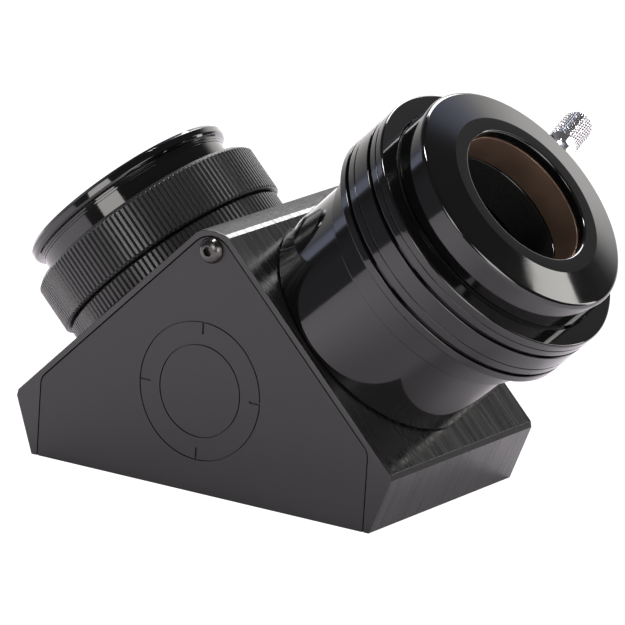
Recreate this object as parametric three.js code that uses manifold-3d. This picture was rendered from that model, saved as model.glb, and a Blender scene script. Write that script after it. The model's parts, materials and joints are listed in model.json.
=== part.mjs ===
// Two-inch mirror star diagonal with a 1.25-inch eyepiece adapter.
//
// Millimetres, +Z up. The body stands on its mirror cover, z = 0, with the origin at the middle
// of that face. +X points to the eyepiece side and -X to the telescope side, and both optical
// axes rise at 45 degrees from the middle of the mirror. Each side has its own group whose local
// +Z runs along the optical axis, outwards, from 0 on the sloping face of the body.

import * as THREE from 'three';
import { mergeVertices } from 'three/addons/utils/BufferGeometryUtils.js';
import Module from 'manifold-3d';

const wasm = await Module();
wasm.setup();

// ---------------------------------------------------------------- driving dimensions

const GAP = 0.3;                    // clearance between neighbouring pieces
const ROUND_SIDES = 40;             // facets of a large turned piece
const SMALL_SIDES = 16;             // facets of a screw or pin
const SLOPE = Math.PI / 4;          // tilt of both optical axes from vertical

// body: a 45 degree prism with cut-off lower corners and a rounded ridge
const BODY_WIDTH = 57.6;
const BASE_HALF = 42.6;             // half length of the base
const WAIST_HALF = 47.4;            // half length where the slopes end
const WAIST_HEIGHT = 13;
const RIDGE_HEIGHT = WAIST_HALF + WAIST_HEIGHT;   // where the slopes would meet
const RIDGE_RADIUS = 7;
const WAIST_BREAK = 0.9;            // chamfer between slope and end facet
const MIRROR_HEIGHT = 12.4;         // the reflecting face, where the optical axes meet
const LIGHT_BORE = 22.5;            // radius of the light path in the body
const SOCKET_RADIUS = 24.9;         // threaded mouths that take the two fittings
const SOCKET_DEPTH = 6.3;

// side plates, let in flush
const PLATE_THICKNESS = 1.5;
const PLATE_MARGIN = 1.5;           // strip of body left outside the plate along a slope
const PLATE_HALF = 41;
const PLATE_BEND = 3;

// cover, screws and mirror
const COVER_HALF_LENGTH = 40.5;
const COVER_HALF_WIDTH = 25.5;
const COVER_THICKNESS = 2.4;
const MIRROR_HALF_LENGTH = 35;
const MIRROR_HALF_WIDTH = 24.2;
const MIRROR_CORNER = 9;
const MIRROR_THICKNESS = 8.4;
const PAD_THICKNESS = 1;
const PAD_RADIUS = 3.5;
const COVER_SCREW = { x: 38.2, y: 20, radius: 1.25, head: 2.4, headDepth: 1.5, length: 7.5 };
const PLATE_SCREW = { height: 53.1, radius: 1.5, head: 2.8, headHeight: 1.65, length: 8, hex: 1.15 };

// telescope side, distances measured out from the sloping face
const NOSE = { outer: 22.9, inner: 20.5, lip: 24.4, lipStart: 21.6, end: 24.2, start: -5.5 };
const COLLAR = { outer: 26.4, spigot: 24.6, spigotDepth: 6, knurlEnd: 3.8, end: 5 };
const COUPLING = { outer: 27.3, thread: 24.9, start: 5.3, end: 16.6, shoulder: 3 };
const SLIP_WASHER = { thickness: 0.5, outer: 24.6 };

// eyepiece side
const TUBE = { outer: 27.05, head: 27.8, bore: 25.6, stop: 12, headStart: 18.6, end: 32.3 };
const TWIST = { outer: 31.7, mouth: 27.4, thread: 28.15, start: 25.1, end: 39.2, coneStart: 34.5 };
const TWIST_GROOVES = [28.1, 35.1];
const GROOVE_WIDTH = 0.7;
const GROOVE_DEPTH = 0.8;
const COLLET = { inner: 25.7, start: 33.4, end: 38.7, slot: 3 };
const STOP_SCREW = { along: 31.4, angle: 112, radius: 1.5, length: 2.8 };

// adapter that reduces the two-inch holder to 1.25 inch
const ADAPTER = {
  barrel: 25.4, barrelInner: 23.7, barrelEnd: TUBE.stop + GAP, bore: 15.95, boreEnd: 30,
  flange: 27.15, rear: 39.6, bevelStart: 47.1, face: 48.6, faceRadius: 19.4,
};
const BRASS = { inner: 15.9, outer: 17.1, start: 39.2, end: 46.3, slot: 2.5 };
const THUMB = {
  along: 44.1, angle: 72.8, head: 3.45, headStart: 31, headLength: 12.4, neck: 2, rounding: 1.4,
  tipLength: 2, tipClearance: 0.8,
};

// ---------------------------------------------------------------- finishes

const finish = (color, roughness, metalness) =>
  new THREE.MeshStandardMaterial({ color, roughness, metalness });

const BRUSHED_BLACK = finish(0x2b2b2f, 0.42, 0.8);
const GLOSS_BLACK = finish(0x0b0b0d, 0.12, 0.5);
const SATIN_BLACK = finish(0x161618, 0.4, 0.6);
const STEEL = finish(0x8c8c90, 0.3, 1);
const CHROME = finish(0xe4e6e8, 0.08, 1);
const BRASS_FINISH = finish(0x7a5a40, 0.35, 0.9);
const GLASS_FINISH = finish(0xdfe6ec, 0.03, 1);
const CORK = finish(0x9a7a55, 0.9, 0);
const NYLON = finish(0xe6e2d8, 0.6, 0);

// ---------------------------------------------------------------- geometry helpers

// Signed volume of a closed mesh, used to turn its faces outwards.
function signedVolume(positions, index) {
  const a = new THREE.Vector3();
  const b = new THREE.Vector3();
  const c = new THREE.Vector3();
  let volume = 0;
  for (let i = 0; i < index.length; i += 3) {
    a.fromArray(positions, index[i] * 3);
    b.fromArray(positions, index[i + 1] * 3);
    c.fromArray(positions, index[i + 2] * 3);
    volume += a.dot(b.cross(c)) / 6;
  }
  return volume;
}

// A closed three.js geometry as a solid that can be joined and cut.
function solidOf(geometry) {
  const bare = geometry.clone();
  bare.deleteAttribute('normal');
  bare.deleteAttribute('uv');
  const merged = mergeVertices(bare, 1e-4);
  const vertProperties = new Float32Array(merged.attributes.position.array);
  const corners = Array.from(merged.index.array);
  const triangles = [];
  for (let i = 0; i < corners.length; i += 3) {
    const [a, b, c] = corners.slice(i, i + 3);
    if (a !== b && b !== c && c !== a) triangles.push(a, b, c);
  }
  if (signedVolume(vertProperties, triangles) < 0) triangles.reverse();
  const triVerts = new Uint32Array(triangles);
  return new wasm.Manifold(new wasm.Mesh({ numProp: 3, vertProperties, triVerts }));
}

function geometryOf(solid) {
  const mesh = solid.getMesh();
  const geometry = new THREE.BufferGeometry();
  geometry.setAttribute('position', new THREE.BufferAttribute(new Float32Array(mesh.vertProperties), 3));
  geometry.setIndex(new THREE.BufferAttribute(new Uint32Array(mesh.triVerts), 1));
  geometry.computeVertexNormals();
  return geometry;
}

// A profile of [radius, distance] pairs turned about local Z. It closes on itself, or on the axis.
function turned(profile, sides = ROUND_SIDES) {
  const points = [...profile, profile[0]].map(([radius, along]) => new THREE.Vector2(radius, along));
  return solidOf(new THREE.LatheGeometry(points, sides).rotateX(Math.PI / 2));
}

// A plain cylinder about local Z between two distances.
function rod(radius, start, end, sides = SMALL_SIDES) {
  return turned([[0, start], [radius, start], [radius, end], [0, end]], sides);
}

// A box between two corners.
function block(low, high) {
  const size = high.map((value, axis) => value - low[axis]);
  const middle = high.map((value, axis) => (value + low[axis]) / 2);
  return solidOf(new THREE.BoxGeometry(...size).translate(...middle));
}

// An outline in the XZ plane, extruded between two Y places.
function extruded(outline, front, back) {
  const geometry = new THREE.ExtrudeGeometry(outline, {
    depth: back - front, bevelEnabled: false, curveSegments: 6,
  });
  return solidOf(geometry.rotateX(Math.PI / 2).translate(0, back, 0));
}

// Moves a solid built about local Z so that Z points outwards at an angle round the axis.
// The angle is counted from the uphill side of the sloping face towards +Y.
function pointedOut(solid, angle, along) {
  const radians = THREE.MathUtils.degToRad(angle);
  const outwards = new THREE.Vector3(-Math.cos(radians), Math.sin(radians), 0);
  const turn = new THREE.Quaternion().setFromUnitVectors(new THREE.Vector3(0, 0, 1), outwards);
  const geometry = geometryOf(solid).applyQuaternion(turn).translate(0, 0, along);
  return solidOf(geometry);
}

function piece(name, solid, material) {
  const mesh = new THREE.Mesh(geometryOf(solid), material);
  mesh.name = name;
  return mesh;
}

// ---------------------------------------------------------------- frames of the two sides

// Where an optical axis leaves the sloping face. side is +1 for the eyepiece, -1 for the telescope.
function sideFrame(side) {
  const frame = new THREE.Group();
  const reach = (RIDGE_HEIGHT - MIRROR_HEIGHT) / 2;
  frame.position.set(side * reach, 0, MIRROR_HEIGHT + reach);
  frame.rotation.y = side * SLOPE;
  return frame;
}

// A solid of a side's own frame, carried into the frame of the whole object.
function inBody(solid, side) {
  const frame = sideFrame(side);
  frame.updateMatrix();
  return solidOf(geometryOf(solid).applyMatrix4(frame.matrix));
}

// ---------------------------------------------------------------- body

function housingOutline() {
  const slant = new THREE.Vector2(BASE_HALF - WAIST_HALF, -WAIST_HEIGHT).normalize();
  const lowBreak = slant.multiplyScalar(WAIST_BREAK).add(new THREE.Vector2(WAIST_HALF, WAIST_HEIGHT));
  const rise = WAIST_BREAK * Math.SQRT1_2;
  const ridgeCentre = RIDGE_HEIGHT - RIDGE_RADIUS * Math.SQRT2;
  const outline = new THREE.Shape();
  outline.moveTo(-BASE_HALF, 0);
  outline.lineTo(BASE_HALF, 0);
  outline.lineTo(lowBreak.x, lowBreak.y);
  outline.lineTo(WAIST_HALF - rise, WAIST_HEIGHT + rise);
  outline.absarc(0, ridgeCentre, RIDGE_RADIUS, Math.PI / 4, 3 * Math.PI / 4);
  outline.lineTo(rise - WAIST_HALF, WAIST_HEIGHT + rise);
  outline.lineTo(-lowBreak.x, lowBreak.y);
  return outline;
}

// Outline of a side plate. grow widens it, for the pocket that it lies in.
function plateOutline(grow, bottom) {
  const half = PLATE_HALF + grow;
  const bend = PLATE_BEND + grow;
  const crest = RIDGE_HEIGHT - (PLATE_MARGIN - grow) * Math.SQRT2;
  const bendX = half - bend;
  const bendZ = crest - bend * Math.SQRT2 - bendX;
  const ridgeRadius = RIDGE_RADIUS - PLATE_MARGIN + grow;
  const outline = new THREE.Shape();
  outline.moveTo(-half, bottom);
  outline.lineTo(half, bottom);
  outline.absarc(bendX, bendZ, bend, 0, Math.PI / 4);
  outline.absarc(0, crest - ridgeRadius * Math.SQRT2, ridgeRadius, Math.PI / 4, 3 * Math.PI / 4);
  outline.absarc(-bendX, bendZ, bend, 3 * Math.PI / 4, Math.PI);
  return outline;
}

// A solid built about local Z, laid along Y at the height of the side plates' screws.
function acrossBody(solid, side) {
  const geometry = geometryOf(solid).rotateX(-side * Math.PI / 2);
  return solidOf(geometry.translate(0, 0, PLATE_SCREW.height));
}

// Each of the four cover screws' places.
const coverScrewPlaces = [[-1, -1], [1, -1], [1, 1], [-1, 1]]
  .map(([x, y]) => [x * COVER_SCREW.x, y * COVER_SCREW.y]);

// What a cover screw needs of its surroundings, or the screw itself when grow is 0.
function coverScrew(grow) {
  const { radius, head, headDepth, length } = COVER_SCREW;
  const start = grow > 0 ? -1 : 0.1;
  return turned([
    [0, start], [head + grow, start], [head + grow, 0.1], [radius + grow, headDepth],
    [radius + grow, length + grow], [0, length + grow],
  ], SMALL_SIDES);
}

function housing() {
  const half = BODY_WIDTH / 2;
  const pocketFloor = half - PLATE_THICKNESS - GAP;
  const cavityTop = MIRROR_HEIGHT + GAP;
  let solid = extruded(housingOutline(), -half, half);
  for (const [front, back] of [[-half - 1, -pocketFloor], [pocketFloor, half + 1]]) {
    solid = solid.subtract(extruded(plateOutline(GAP, -1), front, back));
  }
  solid = solid.subtract(block(
    [-COVER_HALF_LENGTH - GAP, -COVER_HALF_WIDTH - GAP, -1],
    [COVER_HALF_LENGTH + GAP, COVER_HALF_WIDTH + GAP, COVER_THICKNESS + GAP],
  ));
  solid = solid.subtract(block(
    [-MIRROR_HALF_LENGTH - GAP, -MIRROR_HALF_WIDTH - GAP, -1],
    [MIRROR_HALF_LENGTH + GAP, MIRROR_HALF_WIDTH + GAP, cavityTop],
  ));
  const belowMirror = block([-90, -90, -90], [90, 90, cavityTop - 0.05]);
  for (const side of [-1, 1]) {
    const lightPath = inBody(rod(LIGHT_BORE, -90, 1, ROUND_SIDES), side).subtract(belowMirror);
    const socket = inBody(rod(SOCKET_RADIUS, -SOCKET_DEPTH, 1, ROUND_SIDES), side);
    solid = solid.subtract(lightPath).subtract(socket);
    const screwHole = rod(PLATE_SCREW.radius + GAP, half - PLATE_SCREW.length - GAP, half + 1);
    solid = solid.subtract(acrossBody(screwHole, side));
  }
  for (const [x, y] of coverScrewPlaces) {
    solid = solid.subtract(coverScrew(GAP).translate([x, y, 0]));
  }
  return solid;
}

function sidePlate(side) {
  const outer = BODY_WIDTH / 2;
  const [front, back] = [side * outer, side * (outer - PLATE_THICKNESS)].sort((a, b) => a - b);
  const hole = rod(PLATE_SCREW.radius + GAP, outer - 5, outer + 1);
  return extruded(plateOutline(0, 0), front, back).subtract(acrossBody(hole, side));
}

// Button-head screw with a hexagon socket, its head standing on the side plate.
function plateScrew(side) {
  const seat = BODY_WIDTH / 2 + 0.05;
  const { radius, head, headHeight, length, hex } = PLATE_SCREW;
  const tip = seat - length;
  const screw = turned([
    [0, tip], [radius, tip], [radius, seat], [head, seat], [head, seat + 0.35],
    [head * 0.86, seat + headHeight * 0.66], [head * 0.55, seat + headHeight], [0, seat + headHeight],
  ], 24);
  const socket = rod(hex, seat + headHeight - 1, seat + headHeight + 1, 6);
  return acrossBody(screw.subtract(socket), side);
}

function cover() {
  let solid = block([-COVER_HALF_LENGTH, -COVER_HALF_WIDTH, 0], [COVER_HALF_LENGTH, COVER_HALF_WIDTH, COVER_THICKNESS]);
  for (const [x, y] of coverScrewPlaces) {
    solid = solid.subtract(coverScrew(GAP).translate([x, y, 0]));
  }
  return solid;
}

// Flat first-surface mirror: a rectangle with its corners cut off.
function mirror() {
  const [x, y, cut] = [MIRROR_HALF_LENGTH, MIRROR_HALF_WIDTH, MIRROR_CORNER];
  const outline = new THREE.Shape([
    [x, cut - y], [x, y - cut], [x - cut, y], [cut - x, y],
    [-x, y - cut], [-x, cut - y], [cut - x, -y], [x - cut, -y],
  ].map(([px, py]) => new THREE.Vector2(px, py)));
  const geometry = new THREE.ExtrudeGeometry(outline, { depth: MIRROR_THICKNESS, bevelEnabled: false });
  return solidOf(geometry.translate(0, 0, MIRROR_HEIGHT - MIRROR_THICKNESS));
}

function mirrorPad(x, y) {
  const start = COVER_THICKNESS + GAP;
  return rod(PAD_RADIUS, start, start + PAD_THICKNESS, SMALL_SIDES).translate([x, y, 0]);
}

// ---------------------------------------------------------------- telescope side

// Knurled collar that screws into the body and holds the nose tube.
function noseCollar() {
  const { outer, spigot, spigotDepth, knurlEnd, end } = COLLAR;
  const inner = NOSE.outer + GAP;
  return turned([
    [inner, -spigotDepth], [spigot, -spigotDepth], [spigot, GAP], [outer, GAP],
    [outer, knurlEnd], [outer - 0.8, knurlEnd + 0.6], [outer - 1.4, end], [inner, end],
  ]);
}

// Smooth nose with a rounded lip that seats on the telescope's rear port.
function noseTube() {
  const { outer, inner, lip, lipStart, end, start } = NOSE;
  return turned([
    [inner, start], [outer, start], [outer, lipStart], [lip - 0.5, lipStart],
    [lip, lipStart + 0.7], [lip, end - 0.9], [lip - 0.7, end], [inner + 0.6, end], [inner, end - 0.6],
  ]);
}

// Knurled ring with the inside thread that screws onto the telescope.
function couplingRing() {
  const { outer, thread, start, end, shoulder } = COUPLING;
  const slide = NOSE.outer + GAP;
  return turned([
    [slide, start], [outer - 0.8, start], [outer, start + 0.8], [outer, end - 0.8],
    [outer - 0.8, end], [thread + 0.5, end], [thread, end - 0.5], [thread, start + shoulder],
    [slide, start + shoulder],
  ]);
}

function slipWasher() {
  const start = COUPLING.start + COUPLING.shoulder + GAP;
  const inner = NOSE.outer + GAP;
  const { outer, thickness } = SLIP_WASHER;
  return turned([[inner, start], [outer, start], [outer, start + thickness], [inner, start + thickness]]);
}

// ---------------------------------------------------------------- eyepiece side

// Two-inch tube. Its thicker head carries the thread of the twist-lock ring.
function holderTube() {
  const { outer, head, bore, stop, headStart, end } = TUBE;
  const { spigot, spigotDepth } = COLLAR;
  return turned([
    [LIGHT_BORE, -spigotDepth], [spigot, -spigotDepth], [spigot, GAP], [outer, GAP],
    [outer, headStart], [head, headStart], [head, end], [bore, end], [bore, stop], [LIGHT_BORE, stop],
  ]);
}

// Twist-lock ring: three bands parted by two grooves outside, thread and closing cone inside.
function twistLockRing() {
  const { outer, mouth, thread, start, end, coneStart } = TWIST;
  const floor = outer - GROOVE_DEPTH;
  const grooves = TWIST_GROOVES.flatMap((middle) => {
    const [low, high] = [middle - GROOVE_WIDTH / 2, middle + GROOVE_WIDTH / 2];
    return [[outer, low], [floor, low], [floor, high], [outer, high]];
  });
  const ring = turned([
    [thread, start], [outer - 1, start], [outer, start + 0.8], ...grooves, [outer, end - 0.6],
    [outer - 0.6, end], [mouth, end], [mouth, end - 0.5], [thread, coneStart],
  ]);
  return ring.subtract(stopScrewShape(GAP));
}

// Grub screw that stops the ring from unscrewing. grow widens it, for its hole in the ring.
function stopScrewShape(grow) {
  const { along, angle, radius, length } = STOP_SCREW;
  const end = TWIST.outer - 0.3;
  const start = end - length;
  const reach = grow > 0 ? 1 : 0;
  return pointedOut(rod(radius + grow, start - reach, end + reach), angle, along);
}

// The gap of a split ring: a bar across one side of it, at an angle round local Z from local X.
function slotCutter(width, inner, outer, start, end, angle) {
  const bar = new THREE.BoxGeometry(outer - inner + 4, width, end - start);
  bar.translate((inner + outer) / 2, 0, (start + end) / 2);
  return solidOf(bar.rotateZ(THREE.MathUtils.degToRad(angle)));
}

// Split collet that the cone of the ring closes on a two-inch barrel.
function lockCollet() {
  const { inner, start, end, slot } = COLLET;
  const wide = TWIST.thread - GAP;
  const narrow = TWIST.mouth - GAP;
  const ring = turned([
    [inner, start], [wide, start], [wide, TWIST.coneStart], [narrow, end - 0.6], [narrow, end], [inner, end],
  ]);
  return ring.subtract(slotCutter(slot, inner, wide, start - 1, end + 1, 0));
}

// ---------------------------------------------------------------- adapter

// Flange with the 1.25 inch bore, one piece with the two-inch barrel below it.
function adapterBody() {
  const { barrel, barrelInner, barrelEnd, bore, boreEnd, flange, rear, bevelStart, face, faceRadius } = ADAPTER;
  const groove = BRASS.outer + GAP;
  const body = turned([
    [barrelInner, barrelEnd], [barrel - 0.6, barrelEnd], [barrel, barrelEnd + 0.8], [barrel, rear],
    [flange - 0.4, rear], [flange, rear + 0.4], [flange, bevelStart], [faceRadius, face],
    [bore + 0.25, face], [bore, face - 0.25], [bore, BRASS.end + GAP], [groove, BRASS.end + GAP],
    [groove, BRASS.start - GAP], [bore, BRASS.start - GAP], [bore, boreEnd], [barrelInner, boreEnd - 1.5],
  ]);
  const hole = rod(THUMB.neck + GAP, bore + 0.5, flange + 2);
  return body.subtract(pointedOut(hole, THUMB.angle, THUMB.along));
}

// Split brass ring that the thumbscrew presses on the eyepiece barrel.
function compressionRing() {
  const { inner, outer, start, end, slot } = BRASS;
  const ring = turned([[inner, start], [outer, start], [outer, end], [inner, end]]);
  return ring.subtract(slotCutter(slot, inner, outer, start - 1, end + 1, -THUMB.angle));
}

// Where the thumbscrew's shank ends and its loose tip begins.
const tipStart = BRASS.outer + THUMB.tipClearance;
const shankStart = tipStart + THUMB.tipLength + GAP;

function thumbscrew() {
  const { head, headStart, headLength, neck, rounding, angle, along } = THUMB;
  const top = headStart + headLength;
  const screw = turned([
    [0, shankStart], [neck, shankStart], [neck, headStart], [head - 0.4, headStart],
    [head, headStart + 0.4], [head, top - rounding], [head - 0.35, top - 0.45], [head - rounding, top],
    [0, top],
  ], SMALL_SIDES);
  return pointedOut(screw, angle, along);
}

// Nylon tip that slides with the screw without turning on the brass ring.
function thumbscrewTip() {
  const tip = rod(THUMB.neck - 0.2, tipStart, tipStart + THUMB.tipLength);
  return pointedOut(tip, THUMB.angle, THUMB.along);
}

// ---------------------------------------------------------------- assembly

const diagonal = new THREE.Group();
const scopeSide = sideFrame(-1);
const eyepieceSide = sideFrame(1);

diagonal.add(
  piece('body_housing', housing(), BRUSHED_BLACK),
  piece('side_plate_front', sidePlate(-1), BRUSHED_BLACK),
  piece('side_plate_back', sidePlate(1), BRUSHED_BLACK),
  piece('plate_screw_front', plateScrew(-1), STEEL),
  piece('plate_screw_back', plateScrew(1), STEEL),
  piece('mirror_cover', cover(), BRUSHED_BLACK),
  piece('mirror', mirror(), GLASS_FINISH),
);
coverScrewPlaces.forEach(([x, y], place) => {
  diagonal.add(piece(`cover_screw_${place + 1}`, coverScrew(0).translate([x, y, 0]), STEEL));
});
[[-26, 0], [20, -15], [20, 15]].forEach(([x, y], place) => {
  diagonal.add(piece(`mirror_pad_${place + 1}`, mirrorPad(x, y), CORK));
});

scopeSide.add(
  piece('nose_collar', noseCollar(), SATIN_BLACK),
  piece('nose_tube', noseTube(), GLOSS_BLACK),
  piece('slip_washer', slipWasher(), NYLON),
  piece('coupling_ring', couplingRing(), SATIN_BLACK),
);

eyepieceSide.add(
  piece('holder_tube', holderTube(), GLOSS_BLACK),
  piece('lock_collet', lockCollet(), SATIN_BLACK),
  piece('twist_lock_ring', twistLockRing(), GLOSS_BLACK),
  piece('ring_stop_screw', stopScrewShape(0), STEEL),
  piece('adapter_body', adapterBody(), GLOSS_BLACK),
  piece('compression_ring', compressionRing(), BRASS_FINISH),
  piece('thumbscrew_tip', thumbscrewTip(), NYLON),
  piece('thumbscrew', thumbscrew(), CHROME),
);

diagonal.add(scopeSide, eyepieceSide);

export default diagonal;
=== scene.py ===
import json
import math

import bmesh
import bpy
import numpy as np
from mathutils import Matrix, Vector


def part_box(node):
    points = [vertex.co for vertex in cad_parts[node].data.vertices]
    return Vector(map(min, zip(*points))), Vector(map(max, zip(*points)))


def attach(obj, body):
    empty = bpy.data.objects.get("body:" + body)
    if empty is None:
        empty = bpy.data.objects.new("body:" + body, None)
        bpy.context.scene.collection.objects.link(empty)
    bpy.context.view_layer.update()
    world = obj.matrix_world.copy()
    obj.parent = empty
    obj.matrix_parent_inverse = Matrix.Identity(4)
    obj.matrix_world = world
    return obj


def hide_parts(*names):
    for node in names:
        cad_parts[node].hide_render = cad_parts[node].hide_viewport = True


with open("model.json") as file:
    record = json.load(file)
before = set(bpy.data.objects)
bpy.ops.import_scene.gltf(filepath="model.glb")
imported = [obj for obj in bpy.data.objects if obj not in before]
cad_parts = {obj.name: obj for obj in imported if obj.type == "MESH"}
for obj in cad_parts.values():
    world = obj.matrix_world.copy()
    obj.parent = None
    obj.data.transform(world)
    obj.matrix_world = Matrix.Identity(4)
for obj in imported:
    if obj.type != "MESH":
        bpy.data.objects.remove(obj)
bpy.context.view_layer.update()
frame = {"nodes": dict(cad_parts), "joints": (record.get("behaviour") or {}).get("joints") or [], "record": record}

MM = 0.001
NODES = frame["nodes"]
SLOTS = {part["node"]: part["material_slot"] for part in frame["record"]["subparts"]}
BODY_OF = {node: body for body, nodes in frame["record"]["behaviour"]["bodies"].items() for node in nodes}

# ---------------------------------------------------------------- camera

VIEW = {
    "azimuth": 31.6, "elevation": 15.01, "roll": 3.52, "distance": 1.6154, "target": (0, 0, 0.030),
    "aside": 0.00712, "above": 0.00392, "lens": 436.1, "sensor": 36,
}


def make_camera():
    azimuth, elevation, roll = (math.radians(VIEW[key]) for key in ("azimuth", "elevation", "roll"))
    back = Vector((
        math.sin(azimuth) * math.cos(elevation),
        -math.cos(azimuth) * math.cos(elevation),
        math.sin(elevation),
    ))
    level = Vector((math.cos(azimuth), math.sin(azimuth), 0))
    rise = back.cross(level)
    right = level * math.cos(roll) + rise * math.sin(roll)
    up = rise * math.cos(roll) - level * math.sin(roll)
    target = Vector(VIEW["target"])
    place = target + back * VIEW["distance"]
    aim = target + right * VIEW["aside"] + up * VIEW["above"]
    back = (place - aim).normalized()
    right = up.cross(back).normalized()
    up = back.cross(right)
    camera = bpy.data.objects.new("camera", bpy.data.cameras.new("camera"))
    bpy.context.scene.collection.objects.link(camera)
    camera.data.sensor_width = VIEW["sensor"]
    camera.data.lens = VIEW["lens"]
    camera.data.clip_end = 20
    camera.matrix_world = Matrix.Translation(place) @ Matrix((right, up, back)).transposed().to_4x4()
    bpy.context.scene.camera = camera


# ---------------------------------------------------------------- frames

def joint_axis(name):
    joint = next(j for j in frame["joints"] if j["name"] == name)
    return Vector(joint["axis"]).normalized()


def axes_matrix(x, y, z, origin=(0, 0, 0)):
    """Millimetres along three axes, to metres in the row frame."""
    turn = Matrix((x, y, z)).transposed().to_4x4()
    return Matrix.Translation(Vector(origin)) @ turn @ Matrix.Scale(MM, 4)


def side_frame(joint):
    """Frame of one optical axis. Z runs out along it from the sloping face and X runs uphill."""
    out = joint_axis(joint)
    out = out if out.z > 0 else -out
    uphill = (Vector((0, 0, 1)) - out * out.z).normalized()
    mirror_top = Vector((0, 0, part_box("mirror")[1].z))
    reach = max((v.co - mirror_top).dot(out) for v in NODES["body_housing"].data.vertices)
    return axes_matrix(uphill, out.cross(uphill), out, mirror_top + out * reach)


def pointed_frame(direction, node, side):
    """Frame whose Z runs along a direction, out from the optical axis, through a node's middle."""
    low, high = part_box(node)
    into_side = side.inverted()
    along = (into_side @ ((low + high) / 2)).z
    out = side.to_3x3().col[2].normalized()
    return axes_matrix(out, direction.cross(out), direction, side @ Vector((0, 0, along)))


SCOPE = side_frame("coupling_ring_spin")
EYEPIECE = side_frame("twist_lock_turn")
UPRIGHT = Matrix.Scale(MM, 4)

# ---------------------------------------------------------------- meshes

ARC_STEPS = 6
ROUND = 192


def soften(corners):
    """Rounds the corners, (a, b, radius), of a closed outline into a list of points."""
    points = []
    places = [Vector(corner[:2]) for corner in corners]
    for i, corner in enumerate(corners):
        before, here, after = places[i - 1], places[i], places[(i + 1) % len(places)]
        arrive, leave = (here - before).normalized(), (after - here).normalized()
        turn = math.atan2(arrive.x * leave.y - arrive.y * leave.x, arrive.dot(leave))
        tangent = abs(math.tan(turn / 2))
        if corner[2] == 0 or tangent < 1e-6:
            points.append(tuple(here))
            continue
        room = 0.48 * min((here - before).length, (after - here).length)
        reach = min(tangent * corner[2], room)
        radius = math.copysign(reach / tangent, turn)
        normal = Vector((arrive.y, -arrive.x))
        centre = here - arrive * reach - normal * radius
        steps = max(1, math.ceil(ARC_STEPS * abs(turn) / (math.pi / 2)))
        for step in range(steps + 1):
            spoke = Matrix.Rotation(turn * step / steps, 2) @ normal
            points.append(tuple(centre + spoke * radius))
    return points


def mesh_object(name, vertices, faces, matrix=UPRIGHT):
    mesh = bpy.data.meshes.new(name)
    place = np.array(matrix)
    metres = np.array(vertices) @ place[:3, :3].T + place[:3, 3]
    mesh.from_pydata(metres.tolist(), [], faces)
    made = bpy.data.objects.new(name, mesh)
    bpy.context.scene.collection.objects.link(made)
    face_outwards(made)
    return made


def face_outwards(made):
    editable = bmesh.new()
    editable.from_mesh(made.data)
    bmesh.ops.recalc_face_normals(editable, faces=editable.faces)
    editable.to_mesh(made.data)
    editable.free()


def turned(name, corners, matrix, segments=ROUND, relief=None):
    """Turns a closed outline of (radius, along, rounding) corners about local Z. relief gives the
    radius at (radius, along, angle), for a knurl or a thread."""
    points = np.array(soften(corners))
    angle = np.linspace(0, 2 * math.pi, segments, endpoint=False)[:, None] + 0 * points[None, :, 0]
    radius = 0 * angle + points[None, :, 0]
    along = 0 * angle + points[None, :, 1]
    if relief:
        radius = relief(radius, along, angle)
    vertices = np.stack([radius * np.cos(angle), radius * np.sin(angle), along], -1).reshape(-1, 3)
    columns = len(points)
    faces = []
    for i in range(segments):
        here, there = i * columns, (i + 1) % segments * columns
        for j in range(columns):
            k = (j + 1) % columns
            faces.append((here + j, there + j, there + k, here + k))
    return mesh_object(name, vertices, faces, matrix)


def solid_rod(name, corners, matrix, segments=ROUND, relief=None):
    """Turns an open outline that starts and ends on the axis."""
    rounded = soften([(-1, corners[0][1], 0)] + corners + [(-1, corners[-1][1], 0)])
    rows = np.array([point for point in rounded if point[0] > 1e-6])
    angle = np.linspace(0, 2 * math.pi, segments, endpoint=False)[None, :] + 0 * rows[:, :1]
    radius, along = 0 * angle + rows[:, :1], 0 * angle + rows[:, 1:]
    if relief:
        radius = relief(radius, along, angle)
    vertices = np.stack([radius * np.cos(angle), radius * np.sin(angle), along], -1).reshape(-1, 3)
    last = (len(rows) - 1) * segments
    faces = []
    for here in range(0, last, segments):
        there = here + segments
        for j in range(segments):
            k = (j + 1) % segments
            faces.append((here + j, here + k, there + k, there + j))
    faces.append(tuple(range(segments)))
    faces.append(tuple(last + j for j in range(segments)))
    return mesh_object(name, vertices, faces, matrix)


def prism(name, outline, front, back, matrix=UPRIGHT):
    """An XZ outline extruded along Y."""
    count = len(outline)
    vertices = [(x, y, z) for y in (front, back) for x, z in outline]
    faces = [(i, (i + 1) % count, count + (i + 1) % count, count + i) for i in range(count)]
    faces += [tuple(range(count)), tuple(range(count, 2 * count))]
    return mesh_object(name, vertices, faces, matrix)


def block(name, low, high, matrix=UPRIGHT):
    outline = [(low[0], low[2]), (high[0], low[2]), (high[0], high[2]), (low[0], high[2])]
    return prism(name, outline, low[1], high[1], matrix)


def apply_modifiers(made):
    bpy.context.view_layer.update()
    graph = bpy.context.evaluated_depsgraph_get()
    old = made.data
    fresh = bpy.data.meshes.new_from_object(made.evaluated_get(graph))
    made.modifiers.clear()
    made.data = fresh
    fresh.name = made.name
    bpy.data.meshes.remove(old)
    return made


def cut(made, *cutters):
    for cutter in cutters:
        boolean = made.modifiers.new("cut", "BOOLEAN")
        boolean.operation = "DIFFERENCE"
        boolean.solver = "EXACT"
        boolean.object = cutter
    apply_modifiers(made)
    for cutter in cutters:
        bpy.data.objects.remove(cutter)
    return made


def bevel(made, width, segments=2):
    rounding = made.modifiers.new("bevel", "BEVEL")
    rounding.width = width * MM
    rounding.segments = segments
    rounding.limit_method = "ANGLE"
    rounding.angle_limit = math.radians(32)
    return apply_modifiers(made)


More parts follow.
